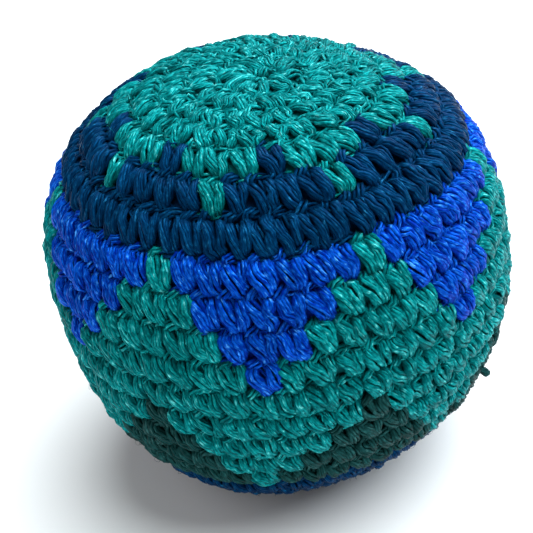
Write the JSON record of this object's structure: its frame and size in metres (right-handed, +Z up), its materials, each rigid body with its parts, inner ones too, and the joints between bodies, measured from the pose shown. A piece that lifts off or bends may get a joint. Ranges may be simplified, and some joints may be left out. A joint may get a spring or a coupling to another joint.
{
  "type": "juggling ball",
  "caption": "Crocheted cotton juggling ball with a star crown and rings of triangles in green, petrol, royal blue and slate, filled with loose pellets.",
  "frame": {"origin": "middle of the flat patch under the ball that it rests on", "axes": "+Z up along the axis that the rounds of crochet turn about, from the starting loop to the closing ring; -Y towards the first blue triangle; +X to the right of it"},
  "size_m": [0.066, 0.066, 0.0606],
  "materials": {
    "green_yarn": "satin",
    "petrol_yarn": "satin",
    "blue_yarn": "satin",
    "slate_yarn": "matte",
    "liner_cloth": "matte",
    "tie_thread": "matte",
    "pellet_plastic": "satin"
  },
  "bodies": {
    "root": {"closing_ring": "green_yarn", "crown_star": "green_yarn", "upper_petrol_band": "petrol_yarn", "blue_triangle_1": "blue_yarn", "blue_triangle_2": "blue_yarn", "blue_triangle_3": "blue_yarn", "blue_triangle_4": "blue_yarn", "blue_triangle_5": "blue_yarn", "blue_triangle_6": "blue_yarn", "blue_triangle_7": "blue_yarn", "green_zigzag_band": "green_yarn", "slate_triangle_1": "slate_yarn", "slate_triangle_2": "slate_yarn", "slate_triangle_3": "slate_yarn", "slate_triangle_4": "slate_yarn", "slate_triangle_5": "slate_yarn", "slate_triangle_6": "slate_yarn", "slate_triangle_7": "slate_yarn", "lower_petrol_base": "petrol_yarn", "starting_loop": "petrol_yarn", "yarn_tail": "slate_yarn", "liner_pouch": "liner_cloth", "liner_tie": "tie_thread", "pellets": "pellet_plastic"}
  },
  "joints": []
}
